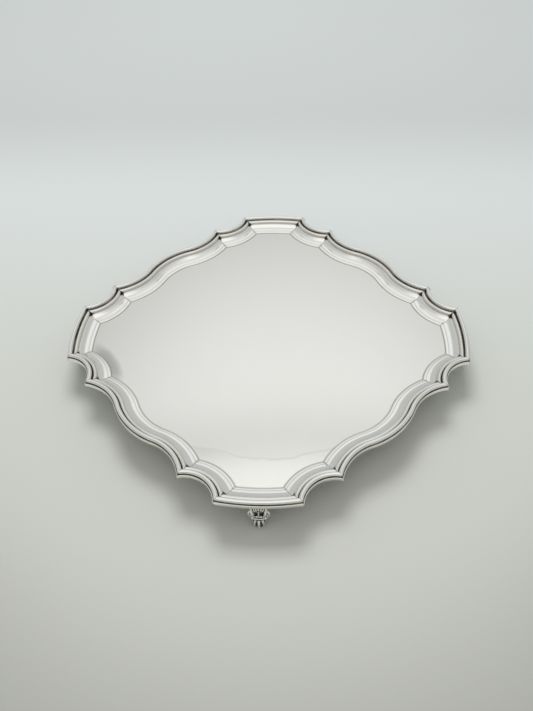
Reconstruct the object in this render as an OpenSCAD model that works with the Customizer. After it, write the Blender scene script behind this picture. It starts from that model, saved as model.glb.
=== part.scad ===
// Square salver with a shaped, mitred border and four cast claw feet.
// Origin on the table under the middle, +Z up, the four crests on the X and Y axes.

/* [Plan] */
// size over two opposite sides, crest to crest
across = 254; // [250:0.5:258]
// radius of the corner arcs about the middle
corner_radius = 147.5; // [146:0.25:149]
// half the angle that a corner arc spans, in degrees
corner_half_angle = 10.84; // [9.6:0.02:12]
// half the width of a serpentine side, middle to cusp
side_cusp_x = 53.1; // [51:0.1:55]
// how far a cove cuts in behind the line of its two cusps
cove_depth = 7; // [6:0.1:8]
// radius of the arc that crests in the middle of a side
crest_radius = 55.4; // [52:0.1:58]
// radius of the two arcs that dip beside it
dip_radius = 33; // [31:0.1:35]
// angle through which the crest runs, from the middle to a dip arc, in degrees
bend = 22.6; // [21:0.1:24]

/* [Border] */
// height of the border's rim plane above the table
rim_height = 25; // [24:0.25:32]
// radius of the outer bead
bead_radius = 1.4; // [1.3:0.05:1.5]
// distance of the bead's middle from the edge
bead_inset = 2.3; // [2.2:0.05:2.4]
// radius of the second ridge
ridge_radius = 1.4; // [1.3:0.05:1.45]
// distance of the ridge's middle from the edge
ridge_inset = 5.7; // [5.6:0.05:5.8]
// radius of the hollow that runs down to the plate
hollow_radius = 6.9; // [6.8:0.05:7]
// thickness of the border's wall under that hollow
border_wall = 1.2; // [1:0.05:1.6]
// full width of the border, edge to flat plate
border_width = 16.5; // [16:0.1:17.5]

/* [Plate] */
// thickness of the flat plate
plate_thickness = 1; // [0.8:0.1:1.6]
// how far the plate runs in under the border's lip
plate_tuck = 2.5; // [2:0.1:2.8]

/* [Feet] */
// width of a foot over its two scrolls
foot_width = 14.5; // [13.5:0.25:15.5]
// radius of the ball that a claw holds
ball_radius = 3.3; // [3:0.1:3.4]
// radius of the flat pad under the ball
pad_radius = 2.2; // [1.8:0.1:2.4]
// thickness of one claw
claw_radius = 0.9; // [0.8:0.05:0.95]
// radius of a scroll end beside the knee
scroll_radius = 2.1; // [1.8:0.1:2.3]
// distance of the ball's middle from the middle of the salver
ball_distance = 145; // [144.5:0.1:145.4]

/* [Hidden] */
$fn = 96;

half = across / 2;

// serpentine side: a crest arc that runs tangent into two dip arcs
crest_centre = [0, half - crest_radius];
dip_centre = crest_centre + (crest_radius + dip_radius) * [sin(bend), cos(bend)];

// cusps at the ends of a corner arc and of a serpentine side
corner_cusp = corner_radius * [sin(45 - corner_half_angle), cos(45 - corner_half_angle)];
side_cusp = [side_cusp_x, dip_centre[1] - sqrt(pow(dip_radius, 2) - pow(side_cusp_x - dip_centre[0], 2))];

// cove: a concave arc struck from outside the edge
cove_chord = corner_cusp - side_cusp;
cove_half = norm(cove_chord) / 2;
cove_radius = (cove_half * cove_half + cove_depth * cove_depth) / (2 * cove_depth);
cove_centre = (corner_cusp + side_cusp) / 2
    + (cove_radius - cove_depth) * [-cove_chord[1], cove_chord[0]] / norm(cove_chord);

// heights above and below the rim plane that shape the moulding
bead_rise = 0.9;
ridge_drop = 1.35;
edge_drop = 3;
hollow_inset = 13.5;
hollow_drop = 5;
hollow_top_drop = 2.35;
hollow_top_inset = 8;
shoulder_drop = 0.25;
step_inset = 14.2;
groove_drop = 1.1;
lip_drop = 5.9;
plate_inset = border_width - plate_tuck;
plate_top = rim_height - lip_drop;

// the crossing of two circles that lies to the right on the way from the first to the second
function crossing(a, ra, b, rb) =
    let (v = b - a, d = norm(v), u = v / d)
    let (along = (ra * ra - rb * rb + d * d) / (2 * d), off = sqrt(ra * ra - along * along))
    a + along * u + off * [u[1], -u[0]];

// the mitre between cove and corner, and between cove and side, at a distance in from the edge
function corner_mitre(d) = crossing([0, 0], corner_radius - d, cove_centre, cove_radius + d);
function side_mitre(d) = crossing(dip_centre, dip_radius + d, cove_centre, cove_radius + d);
function flip(p) = [p[1], p[0]];

mitre_steps = [-5, 0, 5, 10, 17, 24];

// feet: heights above the table
foot_top = rim_height - edge_drop;
knee_radius = foot_width / 2 - 0.35;
knee_height = foot_top - 6;
collar_height = 9;
ball_height = ball_radius + 0.3;
field_depth = 0.8;

// moulding section: X is the distance in from the edge, Y the height above the rim plane
module moulding() {
    translate([bead_inset, bead_rise])
        circle(r = bead_radius);
    translate([ridge_inset, -ridge_drop])
        circle(r = ridge_radius);
    // outer wall and the body under bead and ridge
    polygon([
        [0.3, -edge_drop], [hollow_top_inset, -edge_drop], [hollow_top_inset, -hollow_top_drop],
        [ridge_inset, -hollow_top_drop], [ridge_inset, -groove_drop],
        [bead_inset + 1.3, -groove_drop], [bead_inset + 0.9, -shoulder_drop],
        [bead_inset - 1.1, -shoulder_drop], [bead_inset - 1.45, 0], [0.3, 0], [0, -0.3],
        [0, -edge_drop + 0.3]
    ]);
    // wall of the hollow
    difference() {
        intersection() {
            translate([hollow_inset, hollow_radius - hollow_drop])
                circle(r = hollow_radius + border_wall);
            translate([5, -hollow_drop - 3])
                square([hollow_inset - 4.6, hollow_drop + 3 - hollow_top_drop]);
        }
        translate([hollow_inset, hollow_radius - hollow_drop])
            circle(r = hollow_radius);
    }
    // lip that stands on the plate
    polygon([
        [hollow_inset, -hollow_drop - border_wall], [plate_inset, -hollow_drop - border_wall],
        [plate_inset, -lip_drop], [border_width, -lip_drop], [border_width, -lip_drop + 0.05],
        [border_width - 0.25, -lip_drop + 0.3], [border_width - 0.9, -lip_drop + 0.55],
        [step_inset, -lip_drop + 0.65], [step_inset - 0.1, -hollow_drop], [hollow_inset, -hollow_drop]
    ]);
}

// moulding swept along a convex arc whose centre lies inside the salver
module sweep_convex(centre, radius, from, to) {
    translate([centre[0], centre[1], rim_height])
        rotate_extrude(angle = to - from, start = from)
            translate([radius, 0])
                mirror([1, 0])
                    moulding();
}

// moulding swept along a concave arc whose centre lies outside
module sweep_concave(centre, radius, from, to) {
    translate([centre[0], centre[1], rim_height])
        rotate_extrude(angle = to - from, start = from)
            translate([radius, 0])
                moulding();
}

// upright block over the ground between two mitres
module mitre_block(left, right) {
    linear_extrude(height = rim_height + 10)
        polygon(concat(left, [for (i = [len(right) - 1 : -1 : 0]) right[i]]));
}

module corner_border(index) {
    lead = [for (d = mitre_steps) corner_mitre(d)];
    color("silver")
        rotate([0, 0, -90 * (index - 1)])
            intersection() {
                sweep_convex([0, 0], corner_radius, 45 - corner_half_angle - 3, 45 + corner_half_angle + 3);
                mitre_block(lead, [for (p = lead) flip(p)]);
            }
}

module cove_border(index) {
    turn = floor((index - 1) / 2);
    reach = asin(cove_half / cove_radius);
    middle = atan2(-cove_chord[0], cove_chord[1]);
    color("silver")
        rotate([0, 0, -90 * turn])
            mirror([index % 2 == 0 ? 1 : 0, 0, 0])
                intersection() {
                    sweep_concave(cove_centre, cove_radius, middle - reach - 12, middle + reach + 12);
                    mitre_block([for (d = mitre_steps) side_mitre(d)], [for (d = mitre_steps) corner_mitre(d)]);
                }
}

// half a serpentine side: crest and dip meet on the line through their two centres
module half_side() {
    lead = [for (d = mitre_steps) side_mitre(d)];
    intersection() {
        translate(crest_centre)
            rotate([0, 0, -bend]) {
                sweep_convex([0, 0], crest_radius, 90, 92 + bend);
                sweep_concave([0, crest_radius + dip_radius], dip_radius, 270, 330);
            }
        mitre_block([[0, half + 10], [0, half - border_width - 10]], lead);
    }
}

module side_border(index) {
    color("silver")
        rotate([0, 0, -90 * (index - 1)]) {
            half_side();
            mirror([1, 0, 0])
                half_side();
        }
}

// outline at a distance in from the edge: crests and corners bound it, dips and coves cut it
module plate_outline(inset) {
    crest_end = crest_centre[1] + (crest_radius - inset) * cos(bend);
    difference() {
        intersection() {
            circle(r = corner_radius - inset, $fn = 360);
            union() {
                square(2 * crest_end, center = true);
                for (turn = [0 : 3])
                    rotate([0, 0, 90 * turn])
                        translate(crest_centre)
                            circle(r = crest_radius - inset);
            }
        }
        for (turn = [0 : 3])
            rotate([0, 0, 90 * turn])
                for (side = [0, 1])
                    mirror([side, 0]) {
                        translate(dip_centre)
                            circle(r = dip_radius + inset);
                        translate(cove_centre)
                            circle(r = cove_radius + inset);
                    }
    }
}

module plate() {
    color("gainsboro")
        translate([0, 0, plate_top - plate_thickness])
            linear_extrude(height = plate_thickness)
                plate_outline(plate_inset);
}

// leg of a foot seen from the side: X outward, Y up
module leg_side() {
    intersection() {
        difference() {
            polygon([
                [ball_distance - 9, knee_height], [ball_distance - 6, collar_height],
                [ball_distance + 3, collar_height], [ball_distance + 3.4, foot_top],
                [ball_distance - 2.4, foot_top]
            ]);
            translate([ball_distance + 5.6, collar_height - 1.8])
                circle(r = 5.6);
            translate([ball_distance - 9.6, collar_height])
                circle(r = 5.8);
        }
        translate([ball_distance - 6.6, knee_height - 1])
            circle(r = 9.4);
    }
}

// leg of a foot seen from outside: X along the edge, Y up
module leg_front() {
    translate([0, knee_height])
        circle(r = knee_radius);
    translate([-4.2, collar_height - 1])
        square([8.4, 6]);
    translate([-5.6, knee_height])
        square([11.2, 7]);
}

module leg_slab() {
    rotate([90, 0, 0])
        linear_extrude(height = foot_width + 4, center = true)
            leg_side();
}

module through_leg() {
    translate([ball_distance - 15, 0, 0])
        rotate([90, 0, 90])
            linear_extrude(height = 25)
                children();
}

module claw(yaw, from, to) {
    translate([ball_distance, 0, ball_height])
        rotate([90, 0, yaw]) {
            rotate_extrude(angle = to - from, start = from)
                translate([ball_radius, 0])
                    circle(r = claw_radius, $fn = 32);
            for (end = [from, to])
                rotate([0, 0, end])
                    translate([ball_radius, 0, 0])
                        sphere(r = claw_radius + 0.1, $fn = 32);
        }
}

module foot_body() {
    // knee with a sunk field inside a raised rim
    intersection() {
        translate([-field_depth, 0, 0])
            leg_slab();
        through_leg()
            leg_front();
    }
    intersection() {
        leg_slab();
        through_leg()
            difference() {
                leg_front();
                translate([0, knee_height])
                    circle(r = knee_radius - 1.4);
            }
    }
    // middle rib and shell on the knee
    intersection() {
        leg_slab();
        translate([ball_distance, 0, knee_height])
            cube([20, 1.3, 2 * knee_radius], center = true);
    }
    for (fan = [-1 : 1])
        translate([ball_distance + 0.9 - 0.3 * abs(fan), 2.9 * fan, knee_height + 2.9 - 0.5 * abs(fan)])
            sphere(r = 1.9, $fn = 48);
    // scroll ends beside the knee
    for (side = [-1, 1])
        translate([ball_distance - 5, side * (foot_width / 2 - scroll_radius), knee_height + 2.4])
            rotate([0, 90, 0])
                cylinder(r = scroll_radius, h = 4.4);
    // collar over the ankle
    translate([ball_distance - 4.6, -5, collar_height - 0.8])
        cube([7, 10, 1.6]);
    for (side = [-1, 1])
        translate([ball_distance - 4.2, side * 4.1 - 0.8, collar_height - 2.8])
            cube([6.2, 1.6, 2.6]);
    translate([ball_distance - 0.7, 0, ball_height])
        cylinder(r = 2.3, h = collar_height - ball_height);
    // claw and ball
    translate([ball_distance, 0, ball_height])
        sphere(r = ball_radius);
    for (yaw = [-55, 0, 55])
        claw(yaw, -35, 42);
    claw(180, -20, 42);
    translate([ball_distance, 0, 0])
        cylinder(r = pad_radius, h = 1.6);
}

module foot(index) {
    color("silver")
        rotate([0, 0, 45 - 90 * (index - 1)])
            foot_body();
}

plate();
for (i = [1 : 4])
    corner_border(i);
for (i = [1 : 8])
    cove_border(i);
for (i = [1 : 4])
    side_border(i);
for (i = [1 : 4])
    foot(i);
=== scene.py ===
"""Square silver salver with a shaped moulded border on four cast claw feet."""

import math

import bmesh
import bpy
import numpy as np
from bpy.props import (
    FloatProperty,
    FloatVectorProperty,
    IntProperty,
    PointerProperty,
)
from mathutils import Matrix, Vector


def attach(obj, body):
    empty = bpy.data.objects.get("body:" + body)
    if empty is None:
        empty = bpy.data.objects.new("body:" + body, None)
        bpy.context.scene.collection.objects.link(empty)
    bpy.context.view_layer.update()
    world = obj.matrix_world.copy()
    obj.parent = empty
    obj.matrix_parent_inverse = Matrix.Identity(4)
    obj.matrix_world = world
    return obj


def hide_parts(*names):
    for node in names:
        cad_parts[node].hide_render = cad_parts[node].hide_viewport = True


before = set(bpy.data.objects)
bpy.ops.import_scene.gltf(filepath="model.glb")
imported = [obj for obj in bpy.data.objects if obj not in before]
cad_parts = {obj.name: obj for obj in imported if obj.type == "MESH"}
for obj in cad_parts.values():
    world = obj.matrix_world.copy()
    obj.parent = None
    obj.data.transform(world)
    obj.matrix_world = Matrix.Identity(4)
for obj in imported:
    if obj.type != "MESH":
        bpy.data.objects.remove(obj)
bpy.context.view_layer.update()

bl_info = {
    "name": "Silver Salver",
    "version": (1, 0, 0),
    "blender": (4, 5, 0),
    "location": "View3D > Sidebar > Salver",
    "description": "Builds a square silver salver with a shaped border and claw feet",
    "category": "Add Mesh",
}

MM = 0.001
BODY = "root"

# The border's section, in millimetres: distances in from the outer edge and down from the rim plane
BORDER_WIDTH = 16.5
PLATE_TUCK = 14.0
PLATE_DROP = 5.9
HOLLOW_DROP = 5.0
HOLLOW_INSET = 13.5
BASE_DROP = 3.0
SHOULDER_INSET = 7.9
GROOVE_SOFTNESS = 0.26

# The cast feet, in millimetres
FOOT_REACH = 145
FOOT_HEIGHT = 22.0
FOOT_VOXEL = 0.24


# ---------------------------------------------------------------- settings


class SalverPlan(bpy.types.PropertyGroup):
    """Sizes of the outline, seen from above."""

    across: FloatProperty(
        name="Size over crests",
        description="Size over two opposite sides, crest to crest",
        default=254 * MM,
        unit="LENGTH",
    )
    corner_radius: FloatProperty(
        name="Corner radius",
        description="Radius of the four corner arcs about the middle",
        default=147.5 * MM,
        unit="LENGTH",
    )
    corner_half_angle: FloatProperty(
        name="Corner half angle",
        description="Half the angle that a corner arc spans",
        default=math.radians(10.84),
        subtype="ANGLE",
    )
    side_cusp: FloatProperty(
        name="Side half width",
        description="From the middle of a serpentine side to its cusp",
        default=53.1 * MM,
        unit="LENGTH",
    )
    cove_depth: FloatProperty(
        name="Cove depth",
        description="How far a cove cuts in behind the line of its cusps",
        default=7 * MM,
        unit="LENGTH",
    )
    crest_radius: FloatProperty(
        name="Crest radius",
        description="Radius of the arc that crests in the middle of a side",
        default=55.4 * MM,
        unit="LENGTH",
    )
    dip_radius: FloatProperty(
        name="Dip radius",
        description="Radius of the two arcs that dip beside the crest",
        default=33 * MM,
        unit="LENGTH",
    )
    bend: FloatProperty(
        name="Crest half angle",
        description="Angle from the middle of a side to where crest meets dip",
        default=math.radians(22.6),
        subtype="ANGLE",
    )


class SalverMoulding(bpy.types.PropertyGroup):
    """Sizes of the border's section and of the plate."""

    rim_height: FloatProperty(
        name="Rim height",
        description="Height of the rim plane above the table",
        default=25 * MM,
        unit="LENGTH",
    )
    bead_radius: FloatProperty(
        name="Bead radius",
        description="Radius of the outer bead",
        default=1.4 * MM,
        unit="LENGTH",
    )
    ridge_radius: FloatProperty(
        name="Ridge radius",
        description="Radius of the second ridge",
        default=1.4 * MM,
        unit="LENGTH",
    )
    hollow_radius: FloatProperty(
        name="Hollow radius",
        description="Radius of the hollow that runs down to the plate",
        default=6.9 * MM,
        unit="LENGTH",
    )
    wall: FloatProperty(
        name="Wall",
        description="Thickness of the border under its hollow",
        default=1.2 * MM,
        unit="LENGTH",
    )
    plate_thickness: FloatProperty(
        name="Plate thickness",
        description="Thickness of the flat plate",
        default=1 * MM,
        unit="LENGTH",
    )
    spacing: FloatProperty(
        name="Mesh spacing",
        description="Distance between the cross sections of the border mesh",
        default=1.1 * MM,
        unit="LENGTH",
    )


class SalverFinish(bpy.types.PropertyGroup):
    """Colours and polish of the silver."""

    silver: FloatVectorProperty(
        name="Silver",
        description="Colour of clean polished silver",
        default=(0.93, 0.925, 0.905),
        subtype="COLOR",
        min=0,
        max=1,
    )
    # Also mixed in as part of the painted shade along the border's grooves and in the crease round
    # the plate.
    tarnish: FloatVectorProperty(
        name="Tarnish",
        description="Colour of light tarnish along the edges of the hollows",
        default=(0.40, 0.31, 0.20),
        subtype="COLOR",
        min=0,
        max=1,
    )
    # Also used as the colour of the near-black painted shade deep in the border's grooves.
    dark_tarnish_and_shade: FloatVectorProperty(
        name="Old tarnish",
        description="Colour of the oldest tarnish, deep in grooves and joints",
        default=(0.045, 0.036, 0.028),
        subtype="COLOR",
        min=0,
        max=1,
    )
    ground_roughness: FloatProperty(
        name="Ground roughness",
        description="Roughness of the flat ground",
        default=0.16,
        subtype="FACTOR",
        min=0,
        max=1,
    )
    border_roughness: FloatProperty(
        name="Border roughness",
        description="Roughness of the moulded border",
        default=0.13,
        subtype="FACTOR",
        min=0,
        max=1,
    )
    foot_roughness: FloatProperty(
        name="Foot roughness",
        description="Roughness of the cast feet",
        default=0.24,
        subtype="FACTOR",
        min=0,
        max=1,
    )
    seed: IntProperty(
        name="Seed",
        description="Shifts the pattern of the tarnish",
        default=3,
    )


class SalverStage(bpy.types.PropertyGroup):
    """Floor, lights and camera."""

    floor_far: FloatVectorProperty(
        name="Far floor",
        description="Colour of the floor beyond the salver",
        default=(0.565, 0.595, 0.60),
        subtype="COLOR",
        min=0,
        max=1,
    )
    floor_near: FloatVectorProperty(
        name="Near floor",
        description="Colour of the floor in front of the salver",
        default=(0.55, 0.56, 0.52),
        subtype="COLOR",
        min=0,
        max=1,
    )
    lens: FloatProperty(
        name="Lens",
        description="Focal length",
        default=34.47,
        subtype="DISTANCE_CAMERA",
    )
    camera_place: FloatVectorProperty(
        name="Camera place",
        description="Where the camera stands",
        default=(-238.1 * MM, -272.0 * MM, 381.1 * MM),
        subtype="TRANSLATION",
    )
    camera_aim: FloatVectorProperty(
        name="Camera aim",
        description="What the camera looks at",
        default=(-16.3 * MM, -16.7 * MM, 25.0 * MM),
        subtype="TRANSLATION",
    )
    camera_roll: FloatProperty(
        name="Camera roll",
        description="Tilt of the camera about its own axis",
        default=math.radians(-2.43),
        subtype="ANGLE",
    )
    key_power: FloatProperty(
        name="Overhead light",
        description="Power of the soft light overhead",
        default=17.0,
        unit="POWER",
    )
    world_strength: FloatProperty(
        name="Tent brightness",
        description="Brightness of the light tent round the object",
        default=1.0,
    )


SETTINGS = (
    ("salver_plan", SalverPlan),
    ("salver_moulding", SalverMoulding),
    ("salver_finish", SalverFinish),
    ("salver_stage", SalverStage),
)


def sine(degrees):
    return math.sin(math.radians(degrees))


def cosine(degrees):
    return math.cos(math.radians(degrees))


# ---------------------------------------------------------------- shader maths


class Flow:
    """One value on its way through a material; arithmetic on it adds Math nodes."""

    def __init__(self, graph, socket):
        self.graph = graph
        self.socket = socket

    def math(self, operation, first, second=None, clamp=False):
        inputs = {0: first} if second is None else {0: first, 1: second}
        settings = {"operation": operation, "use_clamp": clamp}
        return self.graph.add("ShaderNodeMath", settings, inputs)

    def __add__(self, other):
        return self.math("ADD", self, other)

    def __radd__(self, other):
        return self.math("ADD", other, self)

    def __sub__(self, other):
        return self.math("SUBTRACT", self, other)

    def __rsub__(self, other):
        return self.math("SUBTRACT", other, self)

    def __mul__(self, other):
        return self.math("MULTIPLY", self, other)

    def __rmul__(self, other):
        return self.math("MULTIPLY", other, self)

    def __truediv__(self, other):
        return self.math("DIVIDE", self, other)

    def __rtruediv__(self, other):
        return self.math("DIVIDE", other, self)

    def __pow__(self, other):
        return self.math("POWER", self, other)

    def clamped(self):
        return self.math("ADD", self, 0.0, clamp=True)

    def ramp(self, low, high, to_low=0.0, to_high=1.0):
        """Smooth step of this value from low to high."""
        inputs = {"Value": self, 1: low, 2: high, 3: to_low, 4: to_high}
        return self.graph.add("ShaderNodeMapRange", {"interpolation_type": "SMOOTHSTEP"}, inputs)


class Graph:
    """The nodes of one material or world."""

    def __init__(self, tree):
        self.tree = tree
        tree.nodes.clear()

    def add(self, kind, settings=(), inputs=(), output=0):
        """A node of this kind: its settings first, then values or links for its sockets."""
        node = self.tree.nodes.new(kind)
        for name, value in dict(settings).items():
            setattr(node, name, value)
        for name, value in dict(inputs).items():
            if isinstance(value, Flow):
                self.tree.links.new(value.socket, node.inputs[name])
            else:
                node.inputs[name].default_value = value
        return Flow(self, node.outputs[output])

    def finish(self, kind, surface):
        node = self.tree.nodes.new(kind)
        self.tree.links.new(surface.socket, node.inputs["Surface"])

    def place(self):
        return self.add("ShaderNodeTexCoord", output="Object")

    def diagonals(self, place):
        """How far to the right and how far away a place lies, seen from the near corner."""
        x, y = (self.add("ShaderNodeSeparateXYZ", inputs={"Vector": place}, output=k) for k in "XY")
        return (x - y) * math.sqrt(0.5), (x + y) * math.sqrt(0.5)

    def attribute(self, name):
        return self.add("ShaderNodeAttribute", {"attribute_name": name}, output="Fac")

    def noise(self, vector, scale, detail=2.0, roughness=0.5, distortion=0.0):
        inputs = {
            "Vector": vector,
            "Scale": scale,
            "Detail": detail,
            "Roughness": roughness,
            "Distortion": distortion,
        }
        return self.add("ShaderNodeTexNoise", inputs=inputs, output="Fac")

    def blend(self, factor, first, second):
        """Colour mix from first to second."""
        settings = {"data_type": "RGBA", "clamp_factor": True}
        inputs = {0: factor, 6: first, 7: second}
        return self.add("ShaderNodeMix", settings, inputs, output=2)

    def stretched(self, vector, scale, offset=(0, 0, 0)):
        inputs = {"Vector": vector, "Scale": scale, "Location": offset}
        return self.add("ShaderNodeMapping", inputs=inputs)


def colour(value):
    return (value[0], value[1], value[2], 1.0)


def new_material(name):
    material = bpy.data.materials.new(name)
    material.use_nodes = True
    return material, Graph(material.node_tree)


def silver_shader(graph, base, roughness, bump, strength, distance):
    """Polished metal, with its relief through a Bump node."""
    normal = graph.add(
        "ShaderNodeBump", inputs={"Height": bump, "Strength": strength, "Distance": distance}
    )
    inputs = {
        "Base Color": base,
        "Roughness": roughness,
        "Metallic": 1.0,
        "Normal": normal,
    }
    graph.finish("ShaderNodeOutputMaterial", graph.add("ShaderNodeBsdfPrincipled", inputs=inputs))


def scratches(graph, place, angle, width):
    """Fine wiping marks: noise drawn out along one direction."""
    turned = graph.add(
        "ShaderNodeMapping",
        inputs={"Vector": place, "Rotation": (0, 0, angle), "Scale": (width, width * 0.02, width)},
    )
    return graph.noise(turned, 1.0, 3.0, 0.6)


def ground_material(finish):
    """Flat ground: mirror-like silver with faint wiping marks, a smudge, a tide mark, and tarnish
    with painted shade in the crease at its rim.
    """
    material, graph = new_material("polished_ground")
    place = graph.place()
    right, away = graph.diagonals(place)
    broad = graph.noise(place, 7.0, 1.0, 0.4, 0.4)
    patch = graph.noise(graph.stretched(place, (1, 1, 1), (finish.seed, 0, 0)), 26.0, 4.0, 0.6)
    marks = scratches(graph, place, 0.7, 2600.0) + scratches(graph, place, -0.4, 2100.0)
    rim = graph.attribute("rim")
    # tarnish and painted shade in the crease where the plate meets the border
    rim_tarnish_and_shade = (rim * 0.95 + patch.ramp(0.52, 0.75) * rim).clamped()
    base = graph.blend(rim_tarnish_and_shade * 0.6, colour(finish.silver), colour(finish.tarnish))
    # a dull smudge where the ground meets the left corner
    along = (right + 0.117) * 0.57 - (away + 0.025) * 0.82
    aside = (right + 0.117) * 0.82 + (away + 0.025) * 0.57
    spread = (along * along) / 0.022**2 + (aside * aside) / 0.007**2 + patch * 1.6
    smudge = spread.ramp(2.2, 0.7)
    base = graph.blend(smudge * 0.38, base, colour(finish.dark_tarnish_and_shade))
    # a wavy tide mark across the near corner, brighter beyond it
    wave = away + 0.1115 - right * right * 4.5 + (graph.noise(place, 30.0, 2.0, 0.5) - 0.5) * 0.018
    beyond = wave.ramp(0.0006, -0.0006)
    edge = wave.ramp(0.0024, 0.0004) * (1 - wave.ramp(0.0002, -0.0008))
    base = graph.blend(edge * 0.07 + (1 - beyond) * 0.03, base, colour(finish.dark_tarnish_and_shade))
    rough = finish.ground_roughness + (marks - 1.0) * 0.10 + (patch - 0.5) * 0.04
    rough = rough + rim * 0.12 + smudge * 0.15 - beyond * 0.05
    bump = broad * 0.45 + marks * 0.0012
    silver_shader(graph, base, rough.clamped(), bump, 0.35, 0.0009)
    return material


def border_material(finish):
    """Moulded border: bright on the high lines, with tarnish and painted shade in the grooves and
    darkening at the joints.
    """
    material, graph = new_material("tarnished_and_shaded_moulding")
    place = graph.place()
    patch = graph.noise(place, 60.0, 4.0, 0.62)
    warm = graph.noise(graph.stretched(place, (1, 1, 1), (finish.seed, 0, 0)), 22.0, 3.0, 0.6)
    fine = graph.noise(graph.stretched(place, (1, 1, 1), (0, finish.seed, 0)), 420.0, 3.0, 0.6)
    groove = graph.attribute("groove")
    joint = graph.attribute("joint")
    solder = graph.attribute("solder") * (fine * 1.2 + patch * 0.8 - 0.05)
    # brown tarnish tint plus painted shade along the grooves, and tarnish at the solder
    brown_tarnish_and_shade = (groove * (0.5 + warm * 0.9) + solder * 0.5).ramp(0.16, 0.85)
    # near-black painted shade deep in the grooves mixed with tarnish, darkening along the mitres,
    # and solder marks
    dark_shade_and_tarnish = (groove * (0.62 + patch * 0.65) + joint * fine * 0.9 + solder * 0.75).ramp(0.6, 0.95)
    base = graph.blend(brown_tarnish_and_shade * 0.8, colour(finish.silver), colour(finish.tarnish))
    base = graph.blend(dark_shade_and_tarnish * 0.95, base, colour(finish.dark_tarnish_and_shade))
    rough = finish.border_roughness + brown_tarnish_and_shade * 0.16 + (fine - 0.5) * 0.08 + joint * 0.12
    bump = patch * 0.5 + fine * 0.05 + solder * 0.4
    silver_shader(graph, base, rough.clamped(), bump, 0.25, 0.0005)
    return material


def foot_material(finish):
    """Cast feet: rubbed high points, dark tarnish left in the hollows of the casting."""
    material, graph = new_material("cast_silver")
    place = graph.place()
    depth = graph.attribute("hollow")
    patch = graph.noise(place, 260.0, 4.0, 0.6)
    grain = graph.noise(place, 1500.0, 2.0, 0.5)
    hollow = (depth.ramp(0.30, 0.56) + (patch - 0.5) * 0.35).ramp(0.12, 0.7)
    base = graph.blend(hollow * 0.8, colour(finish.silver), colour(finish.tarnish))
    base = graph.blend(hollow.ramp(0.6, 1.0) * 0.85, base, colour(finish.dark_tarnish_and_shade))
    rough = finish.foot_roughness + hollow * 0.25 + (patch - 0.5) * 0.12
    silver_shader(graph, base, rough.clamped(), patch + grain * 0.3, 0.3, 0.0004)
    return material


def floor_material(stage):
    """Matt paper floor: cooler far away, warmer near by, with a barely visible grain, and painted
    shade towards the near corners and far away.
    """
    material, graph = new_material("paper_floor")
    place = graph.place()
    right, away = graph.diagonals(place)
    grain = graph.noise(place, 900.0, 3.0, 0.6)
    cloud = graph.noise(place, 3.0, 2.0, 0.5)
    cool = graph.blend(cloud * 0.3, colour(stage.floor_far), colour(stage.floor_near))
    base = graph.blend(away.ramp(0.22, -0.12), cool, colour(stage.floor_near))
    # painted shade: the floor darkens towards the corners in front of the salver and far beyond it;
    # the grain adds a faint darkening
    reach = (right * right + away * away) ** 0.5
    painted_shade_and_grain = reach.ramp(0.17, 0.33) * away.ramp(-0.02, -0.2) * 0.33
    painted_shade_and_grain = painted_shade_and_grain + away.ramp(0.2, 0.4) * 0.18 + grain * 0.03
    base = graph.blend(painted_shade_and_grain, base, (0.02, 0.02, 0.02, 1.0))
    inputs = {"Base Color": base, "Roughness": 0.9, "Specular IOR Level": 0.1}
    graph.finish("ShaderNodeOutputMaterial", graph.add("ShaderNodeBsdfPrincipled", inputs=inputs))
    return material


# ---------------------------------------------------------------- plan of the salver


def turned(points, angle):
    """Points of the plan turned about the middle of the salver."""
    spin = np.array([[math.cos(angle), -math.sin(angle)], [math.sin(angle), math.cos(angle)]])
    return points @ spin.T


def circle_crossing(centre_a, radius_a, centre_b, radius_b):
    """The crossing of two circles that lies nearer the middle of the salver."""
    line = centre_b - centre_a
    apart = np.linalg.norm(line)
    unit = line / apart
    along = (radius_a**2 - radius_b**2 + apart**2) / (2 * apart)
    off = math.sqrt(max(radius_a**2 - along**2, 0.0))
    side = np.array([unit[1], -unit[0]])
    return centre_a + along * unit + off * side


def arc(centre, radius, start, end, count):
    turn = np.linspace(start, end, count)
    return centre + radius * np.stack([np.cos(turn), np.sin(turn)], axis=1)


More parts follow.
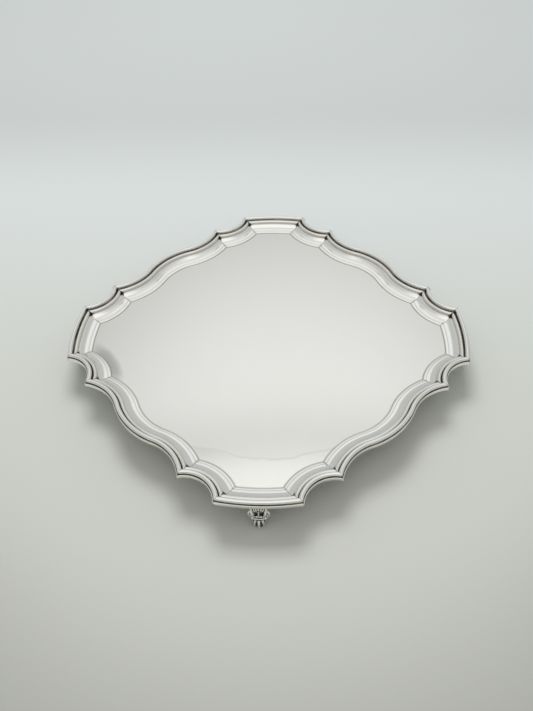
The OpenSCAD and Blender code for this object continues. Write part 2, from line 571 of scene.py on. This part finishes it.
class Outline:
    """Offset curves of the border: every curve runs at one distance in from the edge."""

    def __init__(self, plan):
        self.half = plan.across / 2
        self.corner_radius = plan.corner_radius
        self.crest_radius = plan.crest_radius
        self.dip_radius = plan.dip_radius
        self.bend = plan.bend
        reach = plan.crest_radius + plan.dip_radius
        self.crest_centre = np.array([0.0, self.half - plan.crest_radius])
        self.dip_centre = self.crest_centre + reach * np.array(
            [math.sin(plan.bend), math.cos(plan.bend)]
        )
        lean = math.pi / 4 - plan.corner_half_angle
        corner = plan.corner_radius * np.array([math.sin(lean), math.cos(lean)])
        run = plan.side_cusp - self.dip_centre[0]
        cusp = np.array(
            [plan.side_cusp, self.dip_centre[1] - math.sqrt(plan.dip_radius**2 - run**2)]
        )
        chord = corner - cusp
        length = np.linalg.norm(chord)
        self.cove_radius = (length**2 / 4 + plan.cove_depth**2) / (2 * plan.cove_depth)
        out = np.array([-chord[1], chord[0]]) / length
        self.cove_centre = (corner + cusp) / 2 + (self.cove_radius - plan.cove_depth) * out

    def corner_mitre(self, inset):
        return circle_crossing(
            np.zeros(2), self.corner_radius - inset, self.cove_centre, self.cove_radius + inset
        )

    def side_mitre(self, inset):
        return circle_crossing(
            self.dip_centre, self.dip_radius + inset, self.cove_centre, self.cove_radius + inset
        )

    def corner(self, inset, count):
        """The corner arc that is centred on the diagonal of +X and +Y."""
        x, y = self.corner_mitre(inset)
        start = math.atan2(y, x)
        return arc(np.zeros(2), self.corner_radius - inset, start, math.pi / 2 - start, count)

    def cove(self, inset, count):
        """The cove to the right of the +Y side, from the side to the corner."""
        ends = []
        for point in (self.side_mitre(inset), self.corner_mitre(inset)):
            line = point - self.cove_centre
            ends.append(math.atan2(line[1], line[0]))
        return arc(self.cove_centre, self.cove_radius + inset, ends[0], ends[1], count)

    def side(self, inset, count):
        """The +Y serpentine side, from its left cusp to its right one."""
        line = self.side_mitre(inset) - self.dip_centre
        last = math.atan2(line[1], line[0])
        first = -math.pi / 2 - self.bend
        share = max(count // 3, 2)
        crest = arc(
            self.crest_centre,
            self.crest_radius - inset,
            math.pi / 2 + self.bend,
            math.pi / 2 - self.bend,
            count - 2 * share,
        )
        dip = arc(self.dip_centre, self.dip_radius + inset, first, last, share + 1)[1:]
        mirrored = (dip * [-1, 1])[::-1]
        return np.vstack([mirrored, crest, dip])

    def loop(self, inset, counts):
        """The whole closed curve, clockwise from the left cusp of the +Y side."""
        side = self.side(inset, counts[0])
        cove = self.cove(inset, counts[1])
        corner = self.corner(inset, counts[2])
        second = (cove[::-1])[:, ::-1]
        quarter = np.vstack([side, cove[1:], corner[1:], second[1:-1]])
        return np.vstack([turned(quarter, -step * math.pi / 2) for step in range(4)])


def bead(centre, radius, start, end, count):
    """Part of a round bead in the section, angles in degrees from the inward side."""
    turn = np.radians(np.linspace(start, end, count))
    return [
        (centre[0] + radius * math.cos(t), centre[1] + radius * math.sin(t)) for t in turn
    ]


def moulding_section(moulding):
    """Section of the border as (distance in, height over the rim plane, groove depth 0 to 1), where
    the groove depth sets the painted shade and tarnish.

    It starts under the outer edge, runs over the top to the plate and back underneath.
    """
    r_bead, r_ridge = moulding.bead_radius / MM, moulding.ridge_radius / MM
    r_hollow, wall = moulding.hollow_radius / MM, moulding.wall / MM
    hollow = (HOLLOW_INSET, r_hollow - HOLLOW_DROP)
    points = []

    def run(shapes, depth):
        points.extend((x, y, depth) for x, y in shapes)

    # outer wall, and the gap under the bead, where the groove depth paints shade and tarnish
    run([(0.75, -BASE_DROP)], 0.6)
    run(bead((0.35, 0.35 - BASE_DROP), 0.35, 270, 180, 6), 0.3)
    run([(0.0, -1.9), (0.0, -1.1)], 0.0)
    run(bead((0.3, -0.62), 0.3, 180, 95, 6), 0.0)
    run([(0.46, -0.34), (0.8, -0.4), (1.15, -0.4), (1.42, -0.3)], 0.85)
    # bead, groove, ridge and shoulder
    run(bead((2.3, 0.9), r_bead, 230, 204, 5), 0.5)
    run(bead((2.3, 0.9), r_bead, 196, -50, 30), 0.0)
    run([(3.42, -0.42), (3.7, -0.98), (4.02, -1.1), (4.32, -1.0)], 0.95)
    run(bead((5.7, -1.35), r_ridge, 162, -4, 26), 0.32)
    run([(7.12, -1.9), (7.2, -2.24), (7.5, -2.36), (7.85, -2.36)], 0.58)
    # hollow, step and lip
    start = 180 + math.degrees(math.asin((hollow[1] + 2.38) / r_hollow))
    run(bead(hollow, r_hollow, start, 270, 24), 0.0)
    run([(13.9, -5.0), (14.06, -5.03)], 0.0)
    run([(14.14, -5.12), (14.26, -5.2)], 0.45)
    run([(14.6, -5.24), (15.2, -5.29), (15.7, -5.38), (16.1, -5.53)], 0.0)
    run([(16.36, -5.7)], 0.5)
    run([(BORDER_WIDTH, -PLATE_DROP)], 1.0)
    # back under the lip, the hollow and the solid outer part
    under = -HOLLOW_DROP - wall
    run([(PLATE_TUCK, -PLATE_DROP), (PLATE_TUCK, under), (HOLLOW_INSET, under)], 0.6)
    low = 180 + math.degrees(math.asin((hollow[1] + BASE_DROP) / (r_hollow + wall)))
    run(bead(hollow, r_hollow + wall, 266, low, 14), 0.35)
    run([(6.2, -BASE_DROP), (3.6, -BASE_DROP)], 0.35)

    # soften the groove mask so that the tarnish and painted shade fade into the clean metal beside
    # it
    table = np.array(points)
    step = np.linalg.norm(np.diff(table[:, :2], axis=0, append=table[:1, :2]), axis=1)
    along = np.concatenate([[0], np.cumsum(step)[:-1]])
    total = step.sum()
    gap = np.abs(along[:, None] - along[None, :])
    gap = np.minimum(gap, total - gap)
    spread = np.exp(-((gap / GROOVE_SOFTNESS) ** 2))
    soft = (spread * table[:, 2][None, :]).max(axis=1)
    table[:, 2] = np.maximum(table[:, 2], soft * 0.9)
    return table


# ---------------------------------------------------------------- mesh helpers


def point_attribute(mesh, name, values):
    layer = mesh.attributes.new(name, "FLOAT", "POINT")
    layer.data.foreach_set("value", np.asarray(values, np.float32))


def finish_piece(name, mesh, material, nodes):
    """Puts a mesh in the scene in place of its CAD nodes."""
    mesh.materials.append(material)
    piece = bpy.data.objects.new(name, mesh)
    bpy.context.scene.collection.objects.link(piece)
    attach(piece, BODY)
    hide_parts(*nodes)
    return piece


def recalculated(mesh):
    work = bmesh.new()
    work.from_mesh(mesh)
    bmesh.ops.recalc_face_normals(work, faces=work.faces)
    work.to_mesh(mesh)
    work.free()


def swept_length(name, curve, count, section, rim_height, turn, mirror):
    """One length of border: the section carried along its offset curves, mitre to mitre."""
    rings = len(section)
    rows = [curve(inset * MM, count) for inset in section[:, 0]]
    flat = np.stack(rows, axis=1)
    long = flat.shape[0]
    if mirror:
        flat = flat * [-1, 1]
    flat = turned(flat, turn)
    height = np.broadcast_to(rim_height + section[:, 1] * MM, (long, rings))
    verts = np.dstack([flat, height]).reshape(-1, 3)
    faces = []
    for i in range(long - 1):
        for j in range(rings):
            k = (j + 1) % rings
            here, there = i * rings, (i + 1) * rings
            faces.append((here + j, here + k, there + k, there + j))
    sides = len(faces)
    faces.append(tuple(range(rings)))
    faces.append(tuple((long - 1) * rings + j for j in reversed(range(rings))))
    mesh = bpy.data.meshes.new(name)
    mesh.from_pydata(verts.tolist(), [], faces)
    recalculated(mesh)
    smooth = np.ones(len(mesh.polygons), bool)
    smooth[sides:] = False
    mesh.polygons.foreach_set("use_smooth", smooth)

    # dark marks along the mitres, tarnish where solder shows beside the shoulder, and the groove
    # mask that paints shade and tarnish in the valleys
    step = np.linalg.norm(np.diff(flat, axis=0), axis=2)
    ahead = np.vstack([np.zeros((1, rings)), np.cumsum(step, axis=0)])
    near = np.minimum(ahead, ahead[-1] - ahead) / MM
    inset, drop = section[:, 0], section[:, 1]
    inner = np.clip((inset - 4.0) / 1.5, 0, 1) * np.clip((BORDER_WIDTH + 1 - inset) / 2, 0, 1)
    joint = np.exp(-near / 0.9) * inner
    low = np.exp(-(((inset - SHOULDER_INSET) / 1.1) ** 2)) * (drop > -PLATE_DROP - 0.05)
    solder = np.exp(-((near / 1.9) ** 2)) * low
    groove = np.broadcast_to(section[:, 2], (long, rings))
    point_attribute(mesh, "groove", groove.ravel())
    point_attribute(mesh, "joint", joint.ravel())
    point_attribute(mesh, "solder", solder.ravel())
    return mesh


def lump(work, centre, radii):
    """Adds an egg-shaped mass to the form of a casting."""
    matrix = Matrix.Translation(centre) @ Matrix.Diagonal((*radii, 1.0))
    bmesh.ops.create_icosphere(work, subdivisions=3, radius=1.0, matrix=matrix)


def strand(work, knots):
    """Adds a round rib that tapers along its knots, each (x, y, z, radius)."""
    line = np.array(knots, float)
    for _ in range(3):
        near = line[:-1] * 0.75 + line[1:] * 0.25
        far = line[:-1] * 0.25 + line[1:] * 0.75
        inner = np.stack([near, far], axis=1).reshape(-1, 4)
        line = np.vstack([line[:1], inner, line[-1:]])
    for start, end in zip(line[:-1], line[1:]):
        gap = np.linalg.norm(end[:3] - start[:3])
        steps = max(int(math.ceil(gap / (0.5 * start[3]))), 1)
        for k in range(steps):
            x, y, z, radius = start + (end - start) * k / steps
            matrix = Matrix.Translation((x, y, z)) @ Matrix.Scale(radius, 4)
            bmesh.ops.create_icosphere(work, subdivisions=2, radius=1.0, matrix=matrix)


def foot_form():
    """Masses of one foot in millimetres: X outward from the ball's middle, Z up from the table."""
    work = bmesh.new()
    # ball on its pad, and three claws in front and one behind
    lump(work, (0, 0, 3.5), (3.2, 3.2, 3.4))
    lump(work, (0, 0, 0.7), (2.7, 2.7, 1.0))
    for yaw, lean in ((-52, 0.9), (0, 1.0), (52, 0.9), (180, 0.85)):
        out, across = cosine(yaw) * lean, sine(yaw) * lean
        reach = ((1.2, 8.6, 0.95), (3.3, 7.0, 0.95), (4.0, 3.9, 0.85), (3.7, 1.2, 0.6))
        strand(work, [(out * r, across * r, z, thick) for r, z, thick in reach])
        lump(work, (out * 3.15, across * 3.15, 5.6), (0.95, 0.95, 0.75))
    # ankle and the double collar with its two drops
    lump(work, (-1.4, 0, 9.2), (3.0, 3.9, 2.2))
    for out, height, half, thick in ((1.6, 9.2, 4.3, 0.8), (1.2, 10.9, 4.0, 0.6)):
        strand(work, [(out - 0.9, -half, height, thick), (out, -half * 0.5, height, thick),
                      (out, half * 0.5, height, thick), (out - 0.9, half, height, thick)])
    # knee: a sunk field between two rims that roll outward at the top
    lump(work, (-3.2, 0, 15.4), (3.9, 4.2, 6.6))
    lump(work, (-2.4, 0, 20.6), (3.0, 4.6, 1.9))
    strand(work, [(1.3, 0, 11.4, 0.5), (1.9, 0, 14.2, 0.55), (1.5, 0, 17.0, 0.4)])
    for side in (-1, 1):
        strand(work, [(1.0, side * 4.2, 9.3, 0.8), (1.1, side * 4.1, 7.4, 0.7),
                      (0.8, side * 3.6, 6.3, 0.45)])
        strand(work, [(1.4, side * 3.0, 11.4, 0.8), (2.0, side * 3.9, 14.0, 0.9),
                      (1.4, side * 4.4, 17.2, 0.95), (-0.6, side * 4.5, 20.6, 0.9)])
        # curled leaf beside the collar
        strand(work, [(-0.4, side * 3.9, 16.2, 0.8), (0.4, side * 6.0, 15.3, 0.75),
                      (0.7, side * 6.6, 12.6, 0.65), (0.8, side * 5.9, 10.6, 0.6),
                      (0.8, side * 5.1, 11.3, 0.55), (0.8, side * 5.3, 12.4, 0.5)])
        # scroll that turns back under the border
        strand(work, [(-2.4, side * 4.0, 18.6, 1.0), (-3.0, side * 5.9, 19.3, 1.0),
                      (-3.4, side * 6.0, 17.0, 0.9), (-3.2, side * 4.8, 16.6, 0.8)])
    # shell: five petals that fan out at the top of the knee
    for angle in (-64, -32, 0, 32, 64):
        lean, rise = sine(angle), cosine(angle)
        strand(work, [(1.2, lean * 1.4, 16.9 + rise * 0.8, 0.4),
                      (1.5, lean * 2.6, 17.0 + rise * 2.4, 0.7),
                      (0.4, lean * 3.4, 17.2 + rise * 3.6, 0.75)])
    return work


def fused(work, voxel, height):
    """The form as one smooth skin between the table and a height, with its hollows marked."""
    rough = bpy.data.meshes.new("rough_form")
    work.to_mesh(rough)
    work.free()
    holder = bpy.data.objects.new("rough_form", rough)
    bpy.context.scene.collection.objects.link(holder)
    remesh = holder.modifiers.new("skin", "REMESH")
    remesh.mode = "VOXEL"
    remesh.voxel_size = voxel
    graph = bpy.context.evaluated_depsgraph_get()
    mesh = bpy.data.meshes.new_from_object(holder.evaluated_get(graph))
    bpy.data.objects.remove(holder)
    bpy.data.meshes.remove(rough)

    count = len(mesh.vertices)
    place = np.empty(count * 3)
    mesh.vertices.foreach_get("co", place)
    place = place.reshape(-1, 3)
    edges = np.empty(len(mesh.edges) * 2, int)
    mesh.edges.foreach_get("vertices", edges)
    first, second = edges.reshape(-1, 2).T
    degree = np.bincount(edges, minlength=count)[:, None]

    def relaxed(values, times):
        for _ in range(times):
            total = np.zeros_like(values)
            np.add.at(total, first, values[second])
            np.add.at(total, second, values[first])
            values = values * 0.5 + total / degree * 0.5
        return values

    place = relaxed(place, 2)
    broad = relaxed(place, 24)
    place[:, 2] = np.clip(place[:, 2], 0.0, height)
    mesh.vertices.foreach_set("co", place.ravel())
    mesh.update()
    normal = np.empty(count * 3)
    mesh.vertex_normals.foreach_get("vector", normal)
    depth = ((broad - place) * normal.reshape(-1, 3)).sum(axis=1, keepdims=True)
    hollow = np.clip(0.5 + relaxed(depth, 2) / 0.7, 0.0, 1.0)
    point_attribute(mesh, "hollow", hollow[:, 0])
    mesh.polygons.foreach_set("use_smooth", np.ones(len(mesh.polygons), bool))
    return mesh


# ---------------------------------------------------------------- operators


def sizes(context):
    scene = context.scene
    return Outline(scene.salver_plan), scene.salver_moulding, scene.salver_finish


def material_named(name, make, finish):
    return bpy.data.materials.get(name) or make(finish)


class SALVER_OT_plate(bpy.types.Operator):
    """Build the flat plate that the border stands on"""

    bl_idname = "salver.plate"
    bl_label = "Plate"

    def execute(self, context):
        outline, moulding, finish = sizes(context)
        top = moulding.rim_height - PLATE_DROP * MM
        bottom = top - moulding.plate_thickness
        bevel = 0.2 * MM
        counts = (60, 22, 30)
        edge = outline.loop(PLATE_TUCK * MM, counts)
        inside = outline.loop(PLATE_TUCK * MM + bevel, counts)
        lip = outline.loop(BORDER_WIDTH * MM, counts)
        fade = outline.loop((BORDER_WIDTH + 0.8) * MM, counts)
        count = len(edge)
        # rings from the middle out over the top and back underneath: (curve, height, tarnish and
        # painted crease shade)
        rings = []
        for scale in (0.25, 0.5, 0.75, 0.92):
            rings.append((fade * scale, top, 0.0))
        rings.append((fade, top, 0.0))
        rings.append((lip, top, 1.0))
        rings.append((inside, top, 1.0))
        rings.append((edge, top - bevel, 1.0))
        rings.append((edge, bottom + bevel, 0.8))
        rings.append((inside, bottom, 0.5))
        for scale in (0.92, 0.75, 0.5, 0.25):
            rings.append((inside * scale, bottom, 0.1))
        verts, rim = [(0, 0, top)], [0.0]
        for ring, height, mask in rings:
            verts.extend((x, y, height) for x, y in ring)
            rim.extend([mask] * count)
        verts.append((0, 0, bottom))
        rim.append(0.0)
        faces = []
        for j in range(count):
            k = (j + 1) % count
            faces.append((0, 1 + j, 1 + k))
            for i in range(len(rings) - 1):
                a, b = 1 + i * count, 1 + (i + 1) * count
                faces.append((a + j, b + j, b + k, a + k))
            last = 1 + (len(rings) - 1) * count
            faces.append((last + j, len(verts) - 1, last + k))
        mesh = bpy.data.meshes.new("silver_plate")
        mesh.from_pydata(verts, [], faces)
        recalculated(mesh)
        point_attribute(mesh, "rim", rim)
        material = material_named("polished_ground", ground_material, finish)
        finish_piece("silver_plate", mesh, material, ["plate"])
        return {"FINISHED"}


def build_lengths(context, kind, number, turn_of, mirror_of, run):
    """All the border lengths of one kind."""
    outline, moulding, finish = sizes(context)
    section = moulding_section(moulding)
    count = max(int(run / moulding.spacing), 6)
    material = material_named("tarnished_and_shaded_moulding", border_material, finish)
    curve = getattr(outline, kind)
    for index in range(1, number + 1):
        name = f"{kind}_length_{index}"
        mesh = swept_length(
            name, curve, count, section, moulding.rim_height, turn_of(index), mirror_of(index)
        )
        finish_piece(name, mesh, material, [f"{kind}_border_{index}"])


def quarter_turn(step):
    return -math.pi / 2 * step


class SALVER_OT_corner_lengths(bpy.types.Operator):
    """Build the four corner lengths of the border"""

    bl_idname = "salver.corner_lengths"
    bl_label = "Corner lengths"

    def execute(self, context):
        build_lengths(
            context, "corner", 4, lambda i: quarter_turn(i - 1), lambda i: False, 56 * MM
        )
        return {"FINISHED"}


class SALVER_OT_cove_lengths(bpy.types.Operator):
    """Build the eight short concave lengths of the border"""

    bl_idname = "salver.cove_lengths"
    bl_label = "Cove lengths"

    def execute(self, context):
        build_lengths(
            context, "cove", 8, lambda i: quarter_turn((i - 1) // 2), lambda i: i % 2 == 0, 34 * MM
        )
        return {"FINISHED"}


class SALVER_OT_side_lengths(bpy.types.Operator):
    """Build the four serpentine side lengths of the border"""

    bl_idname = "salver.side_lengths"
    bl_label = "Side lengths"

    def execute(self, context):
        build_lengths(
            context, "side", 4, lambda i: quarter_turn(i - 1), lambda i: False, 114 * MM
        )
        return {"FINISHED"}


class SALVER_OT_feet(bpy.types.Operator):
    """Build the four cast feet: shell knee, collar and a claw over a ball"""

    bl_idname = "salver.feet"
    bl_label = "Feet"

    def execute(self, context):
        finish = context.scene.salver_finish
        material = material_named("cast_silver", foot_material, finish)
        cast = fused(foot_form(), FOOT_VOXEL, FOOT_HEIGHT)
        place = Matrix.Translation((FOOT_REACH * MM, 0, 0)) @ Matrix.Scale(MM, 4)
        for index in range(1, 5):
            mesh = cast.copy()
            mesh.name = f"cast_foot_{index}"
            spin = Matrix.Rotation(math.radians(45 - 90 * (index - 1)), 4, "Z")
            mesh.transform(spin @ place)
            finish_piece(mesh.name, mesh, material, [f"foot_{index}"])
        bpy.data.meshes.remove(cast)
        return {"FINISHED"}


class SALVER_OT_stage(bpy.types.Operator):
    """Set up the floor, the soft light and the camera"""

    bl_idname = "salver.stage"
    bl_label = "Stage"

    def execute(self, context):
        scene = context.scene
        stage = scene.salver_stage
        self.floor(scene, stage)
        self.tent(scene, stage)
        self.lights(scene, stage)
        self.camera(scene, stage)
        scene.view_settings.view_transform = "Standard"
        return {"FINISHED"}

    def floor(self, scene, stage):
        work = bmesh.new()
        bmesh.ops.create_grid(work, x_segments=40, y_segments=40, size=6.0)
        mesh = bpy.data.meshes.new("floor")
        work.to_mesh(mesh)
        work.free()
        mesh.materials.append(floor_material(stage))
        piece = bpy.data.objects.new("floor", mesh)
        scene.collection.objects.link(piece)

    def tent(self, scene, stage):
        """Light tent: bright overhead, a soft lamp beyond the far corner, dark low in front."""
        world = bpy.data.worlds.new("light_tent")
        world.use_nodes = True
        graph = Graph(world.node_tree)
        ray = graph.add("ShaderNodeTexCoord", output="Generated")
        up = graph.add("ShaderNodeSeparateXYZ", inputs={"Vector": ray}, output="Z")

        def towards(azimuth, elevation):
            """Cosine of the angle to a direction; azimuth 0 is the far corner."""
            turn, lift = 45 + azimuth, elevation
            line = (cosine(turn) * cosine(lift), sine(turn) * cosine(lift), sine(lift))
            settings = {"operation": "DOT_PRODUCT"}
            return graph.add("ShaderNodeVectorMath", settings, {0: ray, 1: line}, output="Value")

        # walls that brighten upward, and a little more light low on the far side
        wall = up.ramp(sine(25), sine(75), 0.485, 0.75) * up.ramp(0.0, sine(20), 0.9, 1.0)
        low = up.ramp(sine(45), sine(10), 0.0, 0.09)
        wall = wall + low * towards(0, 10).ramp(-0.3, 0.3)
        # a broad fill high in front, and the soft lamp beyond the far corner
        fill = towards(180, 56).ramp(cosine(43), cosine(14)) * 0.285
        lamp = towards(1, 51).ramp(cosine(20), 1.0, 0.0, 0.26)
        # a thin seam in the cloth on the far side, and the dark opening low in front
        seam_band = up.ramp(sine(51.0), sine(53.4)) * (1 - up.ramp(sine(53.6), sine(55.5)))
        seam = seam_band * towards(0, 50).ramp(0.8, 0.95) * 0.42
        front = towards(180, -32).ramp(cosine(40), cosine(28))
        light = (wall + fill + lamp - seam) * (1 - front * 0.9)
        tint = graph.blend(up.ramp(0.2, 0.9), (0.97, 1.0, 0.99, 1), (0.99, 1.0, 0.97, 1))
        inputs = {"Color": tint, "Strength": light * stage.world_strength}
        graph.finish("ShaderNodeOutputWorld", graph.add("ShaderNodeBackground", inputs=inputs))
        scene.world = world

    def lights(self, scene, stage):
        """One soft box overhead, beyond the far side and a little to the left."""
        lamp = bpy.data.lights.new("overhead_softbox", "AREA")
        lamp.shape = "RECTANGLE"
        lamp.size, lamp.size_y = 0.82, 0.64
        lamp.energy = stage.key_power
        box = bpy.data.objects.new("overhead_softbox", lamp)
        box.location = (0.55, 0.70, 1.45)
        box.rotation_euler = (-box.location).to_track_quat("-Z", "Y").to_euler()
        box.visible_glossy = False
        scene.collection.objects.link(box)

    def camera(self, scene, stage):
        data = bpy.data.cameras.new("camera")
        data.lens = stage.lens
        data.sensor_width = 36.0
        data.clip_start = 0.01
        camera = bpy.data.objects.new("camera", data)
        place, aim = Vector(stage.camera_place), Vector(stage.camera_aim)
        look = (aim - place).to_track_quat("-Z", "Y").to_matrix().to_4x4()
        roll = Matrix.Rotation(stage.camera_roll, 4, "Z")
        camera.matrix_world = Matrix.Translation(place) @ look @ roll
        scene.collection.objects.link(camera)
        scene.camera = camera


class SALVER_PT_panel(bpy.types.Panel):
    """Lists the salver's pieces in the sidebar"""

    bl_idname = "SALVER_PT_panel"
    bl_label = "Silver Salver"
    bl_space_type = "VIEW_3D"
    bl_region_type = "UI"
    bl_category = "Salver"

    def draw(self, context):
        column = self.layout.column()
        for operator in OPERATORS:
            column.operator(operator.bl_idname)
        for name, group in SETTINGS:
            box = self.layout.box()
            values = getattr(context.scene, name)
            for field in group.__annotations__:
                box.prop(values, field)


OPERATORS = (
    SALVER_OT_plate,
    SALVER_OT_corner_lengths,
    SALVER_OT_cove_lengths,
    SALVER_OT_side_lengths,
    SALVER_OT_feet,
    SALVER_OT_stage,
)


def register():
    for name, group in SETTINGS:
        bpy.utils.register_class(group)
        setattr(bpy.types.Scene, name, PointerProperty(type=group))
    for cls in (*OPERATORS, SALVER_PT_panel):
        bpy.utils.register_class(cls)


def unregister():
    for cls in (SALVER_PT_panel, *reversed(OPERATORS)):
        bpy.utils.unregister_class(cls)
    for name, group in reversed(SETTINGS):
        delattr(bpy.types.Scene, name)
        bpy.utils.unregister_class(group)


def main():
    """Builds every piece and the stage."""
    register()
    bpy.ops.salver.plate()
    bpy.ops.salver.corner_lengths()
    bpy.ops.salver.cove_lengths()
    bpy.ops.salver.side_lengths()
    bpy.ops.salver.feet()
    bpy.ops.salver.stage()


if __name__ == "__main__":
    main()
